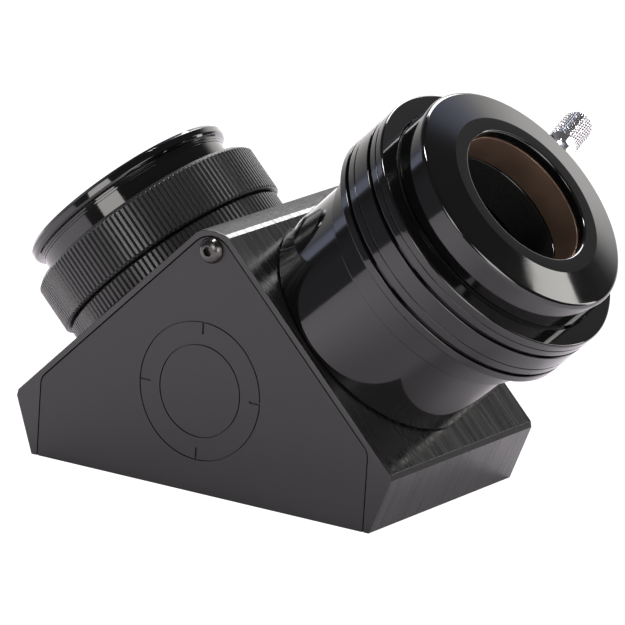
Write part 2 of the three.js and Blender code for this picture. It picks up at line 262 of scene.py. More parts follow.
def shade(made, angle=32, creased=None):
    """Smooth over rounded edges, with flat faces kept flat beside them. creased tells whether a
    vertex lies on an edge that stays sharp."""
    mesh = made.data
    mesh.shade_smooth()
    mesh.set_sharp_from_angle(angle=math.radians(angle))
    if creased:
        on_crease = [creased(vertex.co / MM) for vertex in mesh.vertices]
        for edge in mesh.edges:
            if all(on_crease[i] for i in edge.vertices):
                edge.use_edge_sharp = True
    weighted = made.modifiers.new("weighted", "WEIGHTED_NORMAL")
    weighted.mode = "FACE_AREA"
    weighted.weight = 100
    weighted.keep_sharp = True
    return apply_modifiers(made)


# ---------------------------------------------------------------- dimensions, in millimetres

BODY = {
    "width": 57.6, "base": 42.6, "waist": 47.4, "waist_height": 13, "chamfer": 0.83, "ridge": 7,
    "crown": 14, "crown_half": 3.0, "facet_half": 4.0, "facet_drop": 0.52, "gap": 0.3,
}
CREST = BODY["waist"] + BODY["waist_height"]
PLATE = {"thickness": 1.5, "margin": 1.5, "half": 41, "bend": 3, "gap": 0.2}
COVER = {"half_length": 40.5, "half_width": 25.5, "thickness": 2.4}
COVER_SCREW = {
    "x": 38.2, "y": 20, "radius": 1.25, "head": 2.4, "depth": 1.5, "length": 7.5,
    "cross": (1.1, 0.25, 0.9),
}
PLATE_SCREW = {"height": 53.1, "radius": 1.5, "head": 2.8, "tall": 1.65, "length": 8, "hex": 1.15}
MIRROR = {"half_length": 35, "half_width": 24.2, "corner": 9, "top": 12.4, "thickness": 8.4}
LIGHT_BORE = 22.5
FAR = 90
SOCKET = {"radius": 24.9, "depth": 6.3}
KNURL_DEPTH = 0.36
MARK = {"x": -1, "z": 22.3, "radius": 15, "inner": 10, "width": 0.5, "depth": 0.35, "tick": 2.6}

# ---------------------------------------------------------------- materials


class Material:
    """A procedural material on one Principled shader, with coordinates in millimetres."""

    def __init__(self, name, **values):
        self.data = bpy.data.materials.new(name)
        self.data.use_nodes = True
        self.tree = self.data.node_tree
        self.shader = self.tree.nodes["Principled BSDF"]
        self.coordinates = self.node("ShaderNodeTexCoord").outputs["Object"]
        for key, value in values.items():
            socket = self.shader.inputs[key.replace("_", " ")]
            socket.default_value = (*value, 1) if isinstance(value, tuple) and len(value) == 3 else value

    def node(self, kind, **inputs):
        """A node with its inputs set or linked, by name or as i0, i1 and so on."""
        made = self.tree.nodes.new(kind)
        for key, value in inputs.items():
            by_number = key[0] == "i" and key[1:].isdigit()
            socket = made.inputs[int(key[1:]) if by_number else key]
            if isinstance(value, bpy.types.NodeSocket):
                self.tree.links.new(value, socket)
            else:
                socket.default_value = value
        return made

    def link(self, output, socket_name):
        self.tree.links.new(output, self.shader.inputs[socket_name])

    def noise(self, scale, detail=2, roughness=0.5):
        """Noise from 0 to 1 with (x, y, z) cycles per millimetre."""
        mapping = self.node("ShaderNodeMapping", Vector=self.coordinates, Scale=[s / MM for s in scale])
        made = self.node(
            "ShaderNodeTexNoise", Vector=mapping.outputs[0], Scale=1.0,
            Detail=detail, Roughness=roughness,
        )
        return made.outputs["Fac"]

    def spread(self, factor, low, high, start=0.3, end=0.7):
        """Takes a factor that runs from start to end to a value from low to high."""
        limits = {"From Min": start, "From Max": end, "To Min": low, "To Max": high}
        return self.node("ShaderNodeMapRange", Value=factor, **limits).outputs[0]

    def blend_color(self, factor, first, second):
        made = self.tree.nodes.new("ShaderNodeMix")
        made.data_type = "RGBA"
        self.tree.links.new(factor, made.inputs[0])
        made.inputs[6].default_value = (*first, 1)
        made.inputs[7].default_value = (*second, 1)
        return made.outputs[2]

    def math(self, operation, first, second):
        made = self.node("ShaderNodeMath", i0=first, i1=second)
        made.operation = operation
        return made.outputs[0]

    def bump(self, height, depth, strength=1.0):
        """Bump of a depth in millimetres."""
        made = self.node("ShaderNodeBump", Height=height, Distance=depth * MM, Strength=strength)
        self.link(made.outputs[0], "Normal")


def gloss_black():
    made = Material("gloss_black", Base_Color=(0.003, 0.0028, 0.0028), Roughness=0.06, IOR=1.6)
    cloud = made.noise((0.25, 0.25, 0.25), detail=4)
    made.link(made.spread(cloud, 0.045, 0.085), "Roughness")
    made.bump(made.noise((3, 3, 3), detail=1), 0.0005)
    return made.data


def brushed_black():
    """Milled faces with their fine lines running uphill, so that highlights spread across the body."""
    made = Material(
        "brushed_black", Base_Color=(0.003, 0.003, 0.003), Roughness=0.2, IOR=1.6,
        Anisotropic=0.6, Anisotropic_Rotation=0.25,
    )
    fine = made.noise((0.03, 3.2, 0.03), detail=3, roughness=0.7)
    broad = made.noise((0.04, 0.9, 0.04), detail=2)
    made.link(made.spread(made.math("MULTIPLY", fine, broad), 0.12, 0.34, 0.12, 0.38), "Roughness")
    made.link(made.blend_color(fine, (0.0, 0.0, 0.0), (0.012, 0.0115, 0.0115)), "Base Color")
    made.bump(fine, 0.011)
    tangent = made.node("ShaderNodeTangent")
    tangent.direction_type = "RADIAL"
    tangent.axis = "Y"
    made.link(tangent.outputs[0], "Tangent")
    return made.data


def brushed_plate():
    made = Material("brushed_plate", Base_Color=(0.006, 0.0056, 0.006), Roughness=0.4, IOR=1.58)
    fine = made.noise((7, 7, 1.2), detail=3, roughness=0.6)
    made.link(made.blend_color(fine, (0.003, 0.0028, 0.003), (0.011, 0.0104, 0.011)), "Base Color")
    made.link(made.spread(fine, 0.36, 0.48), "Roughness")
    made.bump(fine, 0.006)
    return made.data


def knurled_black():
    made = Material("knurled_black", Base_Color=(0.012, 0.0115, 0.012), Roughness=0.34, IOR=1.6)
    fine = made.noise((4, 4, 4), detail=3)
    made.link(made.spread(fine, 0.3, 0.38), "Roughness")
    made.bump(fine, 0.002)
    return made.data


def satin_black():
    made = Material("satin_black", Base_Color=(0.02, 0.02, 0.021), Roughness=0.4, IOR=1.5)
    fine = made.noise((3, 3, 3), detail=3)
    made.link(made.spread(fine, 0.34, 0.48), "Roughness")
    made.bump(fine, 0.004)
    return made.data


def baffle_black():
    made = Material("baffle_black", Base_Color=(0.006, 0.006, 0.006), Roughness=0.6, IOR=1.4)
    fine = made.noise((2, 2, 2), detail=4)
    made.link(made.spread(fine, 0.5, 0.75), "Roughness")
    made.bump(fine, 0.02)
    return made.data


def screw_steel():
    made = Material("screw_steel", Base_Color=(0.08, 0.076, 0.074), Metallic=1.0, Roughness=0.25)
    fine = made.noise((5, 5, 5), detail=3)
    made.link(made.spread(fine, 0.18, 0.34), "Roughness")
    made.link(made.blend_color(fine, (0.055, 0.052, 0.05), (0.13, 0.123, 0.118)), "Base Color")
    return made.data


def chrome():
    made = Material("chrome", Base_Color=(0.95, 0.95, 0.955), Metallic=1.0, Roughness=0.12)
    fine = made.noise((2, 2, 2), detail=3)
    made.link(made.spread(fine, 0.08, 0.16), "Roughness")
    return made.data


def brass():
    """Turned brass, with fine tool lines around the eyepiece axis that draw highlights out along it."""
    made = Material("brass", Base_Color=(0.5, 0.34, 0.25), Metallic=0.9, Roughness=0.4)
    turned_about = made.node("ShaderNodeMapping", Vector=made.coordinates, Rotation=(0, -math.pi / 4, 0))
    made.coordinates = turned_about.outputs[0]
    broad = made.noise((0.12, 0.12, 0.12), detail=1)
    made.link(made.blend_color(broad, (0.30, 0.2, 0.145), (0.42, 0.28, 0.2)), "Base Color")
    made.link(made.spread(broad, 0.36, 0.44), "Roughness")
    made.bump(made.noise((0.02, 0.02, 5), detail=1), 0.015)
    return made.data


def mirror_glass():
    made = Material("mirror_glass", Base_Color=(0.86, 0.88, 0.89), Metallic=1.0, Roughness=0.02)
    haze = made.noise((0.08, 0.08, 0.08), detail=3)
    made.link(made.spread(haze, 0.01, 0.03), "Roughness")
    return made.data


def cork():
    made = Material("cork", Base_Color=(0.4, 0.27, 0.16), Roughness=0.9)
    grain = made.noise((1.2, 1.2, 1.2), detail=5, roughness=0.7)
    made.link(made.blend_color(grain, (0.22, 0.13, 0.07), (0.55, 0.4, 0.25)), "Base Color")
    made.bump(grain, 0.1)
    return made.data


def nylon():
    made = Material("nylon", Base_Color=(0.8, 0.77, 0.7), Roughness=0.45, Subsurface_Weight=0.1)
    haze = made.noise((0.5, 0.5, 0.5), detail=3)
    made.link(made.blend_color(haze, (0.74, 0.71, 0.63), (0.84, 0.82, 0.76)), "Base Color")
    return made.data


MATERIALS = {
    build.__name__: build() for build in (
        gloss_black, brushed_black, brushed_plate, knurled_black, satin_black, baffle_black, screw_steel,
        chrome, brass, mirror_glass, cork, nylon,
    )
}


def stand_in(made, node, *more_materials):
    """Puts a finished piece in the place of a CAD node."""
    made.data.materials.clear()
    for name in (SLOTS[node], *more_materials):
        made.data.materials.append(MATERIALS[name])
    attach(made, BODY_OF[node])
    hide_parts(node)
    return made


# ---------------------------------------------------------------- body

def crown_arc():
    """The shallow crown along the ridge, with a narrow facet down to each slope."""
    radius, half, steps = BODY["crown"], BODY["crown_half"], 12
    foot, edge = crown_edges()
    middle = edge[1] - math.sqrt(radius ** 2 - half ** 2)
    reach = math.asin(half / radius)
    angles = [reach * (1 - 2 * i / steps) for i in range(steps + 1)]
    arc = [(radius * math.sin(a), middle + radius * math.cos(a), 0) for a in angles]
    return [(*foot, 0), *arc, (-foot[0], foot[1], 0)]


def crown_edges():
    """Where the facet meets the slope, and where it meets the crown."""
    foot = (BODY["facet_half"], CREST - BODY["facet_half"])
    return foot, (BODY["crown_half"], foot[1] + BODY["facet_drop"])


def clipped(before, corner, after, reach, rounding):
    """The two corners left when a corner is cut off at one distance along both of its sides."""
    corner = Vector(corner)
    places = [corner + (Vector(other) - corner).normalized() * reach for other in (before, after)]
    return [(*place, rounding) for place in places]


def housing_outline():
    base, waist = (BODY["base"], 0), (BODY["waist"], BODY["waist_height"])
    right = clipped(base, waist, (0, CREST), BODY["chamfer"], 0.15)
    left = [(-x, z, rounding) for x, z, rounding in reversed(right)]
    return soften([(-BODY["base"], 0, 0.3), (*base, 0.3), *right, *crown_arc(), *left])


def on_crown_edge(place):
    return any(abs(abs(place.x) - x) < 0.02 and abs(place.z - z) < 0.02 for x, z in crown_edges())


def plate_outline(grow, bottom):
    half = PLATE["half"] + grow
    crest = CREST - (PLATE["margin"] - grow) * math.sqrt(2)
    bend = PLATE["bend"] + grow
    return soften([
        (-half, bottom, 0), (half, bottom, 0), (half, crest - half, bend),
        (0, crest, BODY["ridge"] - PLATE["margin"] + grow), (-half, crest - half, bend),
    ])


def cover_screw_outline(grow):
    start = -1 if grow else 0.1
    head, shank = COVER_SCREW["head"] + grow, COVER_SCREW["radius"] + grow
    return [
        (head, start, 0), (head, 0.1, 0), (shank, COVER_SCREW["depth"], 0),
        (shank, COVER_SCREW["length"] + grow, 0),
    ]


COVER_SCREW_PLACES = [
    (x * COVER_SCREW["x"], y * COVER_SCREW["y"]) for x, y in ((-1, -1), (1, -1), (1, 1), (-1, 1))
]


def at(x, y, z=0):
    return Matrix.Translation((x * MM, y * MM, z * MM)) @ UPRIGHT


def across(side):
    """Frame whose Z points out of a side plate through its screw. side is -1 at the front."""
    outwards = Vector((0, side, 0))
    upwards = Vector((0, 0, 1))
    screw_place = (0, 0, PLATE_SCREW["height"] * MM)
    return axes_matrix(outwards.cross(upwards), upwards, outwards, screw_place)


def make_housing():
    half = BODY["width"] / 2
    gap = BODY["gap"]
    floor = half - PLATE["thickness"] - gap
    made = prism("housing", housing_outline(), -half, half)
    pocket = plate_outline(PLATE["gap"], -1)
    length, width = COVER["half_length"] + PLATE["gap"], COVER["half_width"] + PLATE["gap"]
    cut(
        made,
        prism("pocket", pocket, -half - 1, -floor), prism("pocket", pocket, floor, half + 1),
        block("recess", (-length, -width, -1), (length, width, COVER["thickness"] + gap)),
    )
    bevel(made, 0.16)
    length, width = MIRROR["half_length"] + gap, MIRROR["half_width"] + gap
    cutters = [block("seat", (-length, -width, -1), (length, width, MIRROR["top"] + gap))]
    below = MIRROR["top"] + gap - 0.05
    socket, depth = SOCKET["radius"], SOCKET["depth"]
    for side in (SCOPE, EYEPIECE):
        path = solid_rod("path", [(LIGHT_BORE, -FAR, 0), (LIGHT_BORE, 1, 0)], side)
        cutters.append(cut(path, block("below", (-FAR, -FAR, -FAR), (FAR, FAR, below))))
        cutters.append(solid_rod("socket", [(socket, -depth, 0), (socket, 1, 0)], side))
    for side in (-1, 1):
        reach = half - PLATE_SCREW["length"] - gap
        hole = PLATE_SCREW["radius"] + gap
        cutters.append(solid_rod("hole", [(hole, reach, 0), (hole, half + 1, 0)], across(side), 32))
    for x, y in COVER_SCREW_PLACES:
        cutters.append(solid_rod("hole", cover_screw_outline(gap), at(x, y), 32))
    cut(made, *cutters)
    shade(made, creased=on_crown_edge)
    stand_in(made, "body_housing", "baffle_black")
    paint_inside(made)


def paint_inside(made):
    """Matt black on the faces of the light path."""
    slack = 0.25
    for face in made.data.polygons:
        x, y, z = face.center / MM
        inside = z > slack and abs(x) + z < CREST - slack and abs(y) < BODY["width"] / 2 - 3
        end = BODY["base"] + z * (BODY["waist"] - BODY["base"]) / BODY["waist_height"]
        if inside and abs(x) < end - slack:
            face.material_index = 1


def make_plate(side, node):
    outer = BODY["width"] / 2
    ends = sorted((side * outer, side * (outer - PLATE["thickness"])))
    made = prism(node, plate_outline(0, 0), *ends)
    bevel(made, 0.14)
    hole = PLATE_SCREW["radius"] + BODY["gap"]
    cutters = [solid_rod("hole", [(hole, outer - 5, 0), (hole, outer + 1, 0)], across(side), 48)]
    if side < 0:
        cutters += mark_cutters(side, outer)
    cut(made, *cutters)
    shade(made)
    stand_in(made, node).name = node + "_skin"


def mark_cutters(side, outer):
    """A plain engraved reticle: two rings, with four ticks inwards from the outer one."""
    centre = (MARK["x"] * MM, side * outer * MM, MARK["z"] * MM)
    matrix = axes_matrix(Vector((1, 0, 0)), Vector((0, 0, 1)), Vector((0, side, 0)), centre)
    half, bottom, foot = MARK["width"] / 2, -MARK["depth"], 0.1
    cutters = []
    for radius in (MARK["radius"], MARK["inner"]):
        groove = [
            (radius - half, 1, 0), (radius - foot, bottom, 0),
            (radius + foot, bottom, 0), (radius + half, 1, 0),
        ]
        cutters.append(turned("ring", groove, matrix))
    for quarter in range(4):
        spoke = matrix @ Matrix.Rotation(quarter * math.pi / 2, 4, "Z")
        start, end = MARK["radius"] - MARK["tick"], MARK["radius"] - foot
        cutters.append(block("tick", (start, -half, bottom), (end, half, 1), spoke))
    return cutters


def make_plate_screw(side, node):
    seat = BODY["width"] / 2 + 0.05
    radius, head, tall = PLATE_SCREW["radius"], PLATE_SCREW["head"], PLATE_SCREW["tall"]
    made = solid_rod(node, [
        (radius, seat - PLATE_SCREW["length"], 0.2), (radius, seat, 0), (head, seat, 0.08),
        (head, seat + 0.4, 0.25), (head * 0.8, seat + tall * 0.78, 0.9), (head * 0.5, seat + tall, 0.5),
    ], across(side), 64)
    corner, top = PLATE_SCREW["hex"], seat + tall
    cut(made, solid_rod("hex", [(corner, top - 1.1, 0), (corner, top + 1, 0)], across(side), 6))
    shade(made, 40)
    stand_in(made, node).name = node + "_skin"


def make_cover():
    low = (-COVER["half_length"], -COVER["half_width"], 0)
    high = (COVER["half_length"], COVER["half_width"], COVER["thickness"])
    made = bevel(block("cover", low, high), 0.2)
    hole = cover_screw_outline(0.12)
    cut(made, *[solid_rod("hole", hole, at(*place), 48) for place in COVER_SCREW_PLACES])
    shade(made)
    stand_in(made, "mirror_cover").name = "cover_plate"


def make_cover_screws():
    for i, (x, y) in enumerate(COVER_SCREW_PLACES):
        node = f"cover_screw_{i + 1}"
        made = solid_rod(node, cover_screw_outline(0), at(x, y), 48)
        arm, half, depth = COVER_SCREW["cross"]
        cut(
            made,
            block("slot", (-arm, -half, -1), (arm, half, depth), at(x, y)),
            block("slot", (-half, -arm, -1), (half, arm, depth), at(x, y)),
        )
        shade(made)
        stand_in(made, node).name = node + "_skin"


def make_mirror():
    x, y, corner = MIRROR["half_length"], MIRROR["half_width"], MIRROR["corner"]
    outline = [
        (x, corner - y), (x, y - corner), (x - corner, y), (corner - x, y),
        (-x, y - corner), (-x, corner - y), (corner - x, -y), (x - corner, -y),
    ]
    flat = axes_matrix(Vector((1, 0, 0)), Vector((0, 0, -1)), Vector((0, 1, 0)))
    made = prism("mirror_blank", outline, -MIRROR["top"], MIRROR["thickness"] - MIRROR["top"], flat)
    bevel(made, 0.3)
    shade(made)
    stand_in(made, "mirror")


def make_pads():
    for i in range(3):
        node = f"mirror_pad_{i + 1}"
        low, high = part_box(node)
        centre = (low + high) / 2 / MM
        radius, half = (high.x - low.x) / 2 / MM, (high.z - low.z) / 2 / MM
        made = solid_rod(node, [(radius, -half, 0.2), (radius, half, 0.2)], at(*centre), 48)
        shade(made)
        stand_in(made, node).name = node + "_skin"


# ---------------------------------------------------------------- knurls and threads

def straight_knurl(outer, ridges):
    """Radius of a turned piece with V-grooves along it, over half of its girth."""
    def relief(radius, _along, angle):
        place = angle * ridges / (2 * math.pi) % 1
        groove = np.clip(1 - np.abs(place - 0.5) / 0.25, 0, 1)
        return np.minimum(radius, outer - KNURL_DEPTH * groove)
    return relief


def inner_thread(inner, start, end, pitch=1.058, depth=0.5):
    """Adds a helical groove to the inside wall between two distances."""
    def relief(radius, along, angle):
        place = (along / pitch - angle / (2 * math.pi)) % 1
        groove = depth * np.clip(1 - np.abs(place - 0.5) / 0.45, 0, 1)
        wall = (np.abs(radius - inner) < 0.01) & (along > start) & (along < end)
        return np.where(wall, radius + groove, radius)
    return relief


def divided(start, end, step):
    """(start, end] in equal steps of at most a given length."""
    count = math.ceil(abs(end[1] - start[1]) / step + abs(end[0] - start[0]) / step)
    return [
        (start[0] + (end[0] - start[0]) * i / count, start[1] + (end[1] - start[1]) * i / count, 0)
        for i in range(1, count + 1)
    ]


# ---------------------------------------------------------------- telescope side

NOSE = {
    "outer": 22.9, "inner": 20.5, "lip": 24.32, "lip_start": 21.6, "end": 24.2, "start": -5.5,
    "step": 0.16,
}
COLLAR = {"outer": 26.4, "spigot": 24.6, "depth": 6, "rim": 0.4, "end": 5, "ridges": 136}
COUPLING = {"outer": 27.3, "thread": 24.9, "start": 5.3, "end": 16.6, "shoulder": 3, "ridges": 144}
WASHER = {"outer": 24.6, "thickness": 0.5}
SLIDE = NOSE["outer"] + BODY["gap"]
STEPS_PER_RIDGE = 8


def make_nose_collar():
    outer, spigot, rim, end = (COLLAR[key] for key in ("outer", "spigot", "rim", "end"))
    made = turned("nose_collar_knurled", [
        (SLIDE, -COLLAR["depth"], 0), (spigot, -COLLAR["depth"], 0.3), (spigot, BODY["gap"], 0),
        (outer - 0.5, BODY["gap"], 0), (outer - 0.25, BODY["gap"] + 0.15, 0),
        (outer, BODY["gap"] + 0.4, 0), (outer, end - rim, 0),
        *divided((outer, end - rim), (outer - rim, end), 0.15), (SLIDE, end, 0),
    ], SCOPE, COLLAR["ridges"] * STEPS_PER_RIDGE, straight_knurl(outer, COLLAR["ridges"]))
    shade(made, 25)
    stand_in(made, "nose_collar")


def make_nose_tube():
    outer, inner, lip, end = NOSE["outer"], NOSE["inner"], NOSE["lip"], NOSE["end"]
    start, step = NOSE["lip_start"], NOSE["step"]
    made = turned("nose", [
        (inner, NOSE["start"], 0), (outer, NOSE["start"], 0.3), (outer, start - 1.1, 0),
        (outer + step, start - 1.05, 0.05), (outer + step, start - 0.6, 0),
        (outer + 2 * step, start - 0.55, 0.05), (outer + 2 * step, start - 0.1, 0.1),
        (lip - 0.35, start + 0.05, 0.35), (lip, start + 0.6, 0.3), (lip, end - 0.7, 0.3),
        (lip - 0.6, end, 0.3), (inner + 0.6, end, 0.15), (inner, end - 0.6, 0.15),
    ], SCOPE)
    shade(made)
    stand_in(made, "nose_tube", "baffle_black")
    paint_bore(made, SCOPE, inner + 0.1, end - 1)


def paint_bore(made, side, radius, end):
    """Matt black on the faces nearer the optical axis than a radius."""
    into_side = side.inverted()
    for face in made.data.polygons:
        place = into_side @ face.center
        if math.hypot(place.x, place.y) < radius and place.z < end:
            face.material_index = 1


def make_coupling_ring():
    outer, thread, start, end = (COUPLING[key] for key in ("outer", "thread", "start", "end"))
    shoulder = start + COUPLING["shoulder"]
    outside = straight_knurl(outer, COUPLING["ridges"])
    inside = inner_thread(thread, shoulder + 0.4, end - 1)

    def relief(radius, along, angle):
        return inside(outside(radius, along, angle), along, angle)

    made = turned("coupling_ring_knurled", [
        (SLIDE, start, 0), (outer - 0.5, start, 0),
        *divided((outer - 0.5, start), (outer, start + 0.45), 0.15),
        (outer, end - 0.9, 0), *divided((outer, end - 0.9), (outer - 1.0, end), 0.3),
        (thread + 0.6, end, 0), (thread, end - 0.6, 0),
        *divided((thread, end - 0.6), (thread, shoulder), 0.13), (SLIDE, shoulder, 0),
    ], SCOPE, COUPLING["ridges"] * STEPS_PER_RIDGE, relief)
    shade(made, 25)
    stand_in(made, "coupling_ring")


def make_slip_washer():
    start = COUPLING["start"] + COUPLING["shoulder"] + BODY["gap"]
    outer, thickness = WASHER["outer"], WASHER["thickness"]
    made = turned("washer", [
        (SLIDE, start, 0.1), (outer, start, 0.1),
        (outer, start + thickness, 0.1), (SLIDE, start + thickness, 0.1),
    ], SCOPE)
    shade(made)
    stand_in(made, "slip_washer")


# ---------------------------------------------------------------- eyepiece side

TUBE = {"outer": 27.05, "head": 27.8, "bore": 25.6, "stop": 12, "head_start": 18.6, "end": 32.3}
TWIST = {"outer": 31.7, "mouth": 27.4, "thread": 28.15, "start": 25.1, "end": 39.2, "cone": 34.5}
GROOVES = {"middles": (28.1, 35.1), "width": 1.0, "depth": 0.8, "lines": (30.5, 37.3)}
STOP_SCREW = {"radius": 1.45, "start": 28.6, "end": 31.4, "hex": 0.75}
COLLET = {"inner": 25.7, "start": 33.4, "end": 38.7, "slot": 3}
ADAPTER = {
    "barrel": 25.4, "inner": 23.7, "barrel_end": 12.3, "bore": 15.95, "bore_end": 30, "flange": 27.15,
    "rear": 39.6, "bevel": 47.1, "face": 48.6, "face_radius": 19.4,
}
BRASS = {"inner": 15.9, "outer": 17.1, "start": 39.2, "end": 46.3, "slot": 2.5}
THUMB = {
    "head": 3.42, "start": 31, "length": 12.25, "crown": 1.3, "neck": 2, "shank": 20.2, "starts": 18,
}
DIAMOND = {"depth": 0.45, "pitch": 1.15}
SCREW_TIP = {"radius": 1.8, "start": 17.9, "end": 19.9}


def make_holder_tube():
    made = turned("holder", [
        (LIGHT_BORE, -6, 0), (24.6, -6, 0.3), (24.6, 0.3, 0), (TUBE["outer"], 0.3, 0.3),
        (TUBE["outer"], TUBE["head_start"], 0.15), (TUBE["head"], TUBE["head_start"], 0.25),
        (TUBE["head"], TUBE["end"], 0.3), (TUBE["bore"], TUBE["end"], 0.2),
        (TUBE["bore"], TUBE["stop"], 0), (LIGHT_BORE, TUBE["stop"], 0.2),
    ], EYEPIECE)
    shade(made)
    stand_in(made, "holder_tube", "baffle_black")
    paint_bore(made, EYEPIECE, TUBE["bore"] + 0.1, TUBE["end"] - 0.3)


def make_twist_ring():
    outer, start, end = TWIST["outer"], TWIST["start"], TWIST["end"]
    cuts = [(middle, GROOVES["width"] / 2, GROOVES["depth"], 0.2) for middle in GROOVES["middles"]]
    cuts += [(middle, 0.14, 0.15, 0.1) for middle in GROOVES["lines"]]
    bands = []
    for middle, half, depth, rounding in sorted(cuts):
        bands += [
            (outer, middle - half, rounding), (outer - depth, middle - half * 0.8, 0),
            (outer - depth, middle + half * 0.8, 0), (outer, middle + half, rounding),
        ]
    made = turned("twist_ring", [
        (TWIST["thread"], start, 0.2), (outer - 1, start, 0.25), (outer, start + 0.8, 0.25), *bands,
        (outer, end, 0.5), (TWIST["mouth"], end, 0.2),
        (TWIST["mouth"], end - 0.5, 0), (TWIST["thread"], TWIST["cone"], 0),
    ], EYEPIECE)
    place = pointed_frame(node_direction("ring_stop_screw"), "ring_stop_screw", EYEPIECE)
    hole = STOP_SCREW["radius"] + 0.2
    cut(made, solid_rod("hole", [(hole, TWIST["thread"] - 2, 0), (hole, outer + 2, 0)], place, 48))
    shade(made)
    stand_in(made, "twist_lock_ring")


def node_direction(node):
    """Direction from the eyepiece axis to a CAD node."""
    low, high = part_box(node)
    place = EYEPIECE.inverted() @ ((low + high) / 2)
    return (EYEPIECE.to_3x3() @ Vector((place.x, place.y, 0))).normalized()


def make_stop_screw():
    node = "ring_stop_screw"
    matrix = pointed_frame(node_direction(node), node, EYEPIECE)
    radius, start, end = (STOP_SCREW[key] for key in ("radius", "start", "end"))
    made = solid_rod(node, [(radius, start, 0.1), (radius, end, 0.25)], matrix, 48)
    corner = STOP_SCREW["hex"]
    cut(made, solid_rod("hex", [(corner, end - 1.2, 0), (corner, end + 1.6, 0)], matrix, 6))
    shade(made)
    stand_in(made, node).name = "stop_screw"


def make_collet():
    wide, narrow = TWIST["thread"] - BODY["gap"], TWIST["mouth"] - BODY["gap"]
    inner, start, end, slot = (COLLET[key] for key in ("inner", "start", "end", "slot"))
    made = turned("collet", [
        (inner, start, 0.2), (wide, start, 0.2), (wide, TWIST["cone"], 0.1),
        (narrow, end - 0.6, 0.1), (narrow, end, 0.2), (inner, end, 0.2),
    ], EYEPIECE)
    downhill = Matrix.Rotation(math.pi, 4, "Z")
    low, high = (inner - 2, -slot / 2, start - 1), (wide + 2, slot / 2, end + 1)
    cut(made, block("slot", low, high, EYEPIECE @ downhill))
    shade(made)
    stand_in(made, "lock_collet")


def make_adapter():
    gap = BODY["gap"]
    bore, bore_end, inner = (ADAPTER[key] for key in ("bore", "bore_end", "inner"))
    barrel, barrel_end = ADAPTER["barrel"], ADAPTER["barrel_end"]
    flange, rear, face = (ADAPTER[key] for key in ("flange", "rear", "face"))
    groove, front, back = BRASS["outer"] + gap, BRASS["end"] + gap, BRASS["start"] - gap
    made = turned("adapter", [
        (inner, barrel_end, 0.2), (barrel - 0.6, barrel_end, 0.2),
        (barrel, barrel_end + 0.8, 0.2), (barrel, rear, 0.15),
        (flange, rear, 0.3), (flange, ADAPTER["bevel"], 1.1), (ADAPTER["face_radius"], face, 0.5),
        (bore, face, 0.45), (bore, front, 0.1), (groove, front, 0), (groove, back, 0),
        (bore, back, 0.25), (bore, bore_end, 0.3), (inner, bore_end - 1.5, 0.3),
    ], EYEPIECE)
    matrix = pointed_frame(joint_axis("thumbscrew_turn"), "thumbscrew", EYEPIECE)
    hole = THUMB["neck"] + gap
    cut(made, solid_rod("hole", [(hole, bore + 0.5, 0), (hole, 30, 0)], matrix, 64))
    shade(made)
    stand_in(made, "adapter_body", "baffle_black")
    paint_bore(made, EYEPIECE, inner + 0.1, BRASS["start"] - 0.4)


def make_brass_ring():
    made = turned("brass_ring", [
        (BRASS["inner"], BRASS["start"], 0.08), (BRASS["outer"], BRASS["start"], 0.08),
        (BRASS["outer"], BRASS["end"], 0.08), (BRASS["inner"], BRASS["end"], 0.08),
    ], EYEPIECE)
    direction = joint_axis("thumbscrew_turn")
    level = Vector((direction.x, -direction.y, direction.z))
    matrix = pointed_frame(level, "compression_ring", EYEPIECE)
    half = BRASS["slot"] / 2
    cut(made, block("slot", (-8, -half, BRASS["inner"] - 2), (8, half, BRASS["outer"] + 2), matrix))
    shade(made)
    stand_in(made, "compression_ring")


def diamond_knurl(outer, starts, start, end):
    """Crossed helical grooves between two distances."""
    depth, pitch = DIAMOND["depth"], DIAMOND["pitch"]

    def relief(radius, along, angle):
        turns = starts * angle / (2 * math.pi)
        slope = along / pitch
        deepest = 0 * radius
        for place in (turns + slope, turns - slope):
            deepest = np.maximum(deepest, np.clip(1 - np.abs(place % 1 - 0.5) / 0.42, 0, 1))
        fade = np.clip((along - start) / 0.2, 0, 1) * np.clip((end - along) / 0.2, 0, 1)
        return np.minimum(radius, np.where(fade > 0, outer - depth * deepest * fade, radius))
    return relief


def make_thumbscrew():
    matrix = pointed_frame(joint_axis("thumbscrew_turn"), "thumbscrew", EYEPIECE)
    head, start = THUMB["head"], THUMB["start"]
    top = start + THUMB["length"]
    crown, crown_steps = THUMB["crown"], 10
    outline = [
        (THUMB["neck"], THUMB["shank"], 0.2), (THUMB["neck"], start, 0.1),
        (head - 0.4, start + 0.8, 0.1), *divided((head - 0.4, start + 0.8), (head, start + 1.2), 0.12),
        *divided((head, start + 1.2), (head, top - crown), 0.08),
    ]
    for i in range(1, crown_steps + 1):
        a = i * math.pi / (2 * crown_steps)
        outline.append((head - crown + crown * math.cos(a), top - crown + crown * math.sin(a), 0))
    relief = diamond_knurl(head, THUMB["starts"], start + 0.9, top - 0.1)
    made = solid_rod("thumbscrew_knurled", outline, matrix, THUMB["starts"] * 14, relief)
    shade(made, 14)
    stand_in(made, "thumbscrew")


def make_screw_tip():
    node = "thumbscrew_tip"
    matrix = pointed_frame(joint_axis("thumbscrew_turn"), node, EYEPIECE)
    radius, start, end = (SCREW_TIP[key] for key in ("radius", "start", "end"))
    made = solid_rod(node, [(radius, start, 0.2), (radius, end, 0.2)], matrix, 48)
    shade(made)
    stand_in(made, node).name = "screw_tip_pad"


# ---------------------------------------------------------------- studio

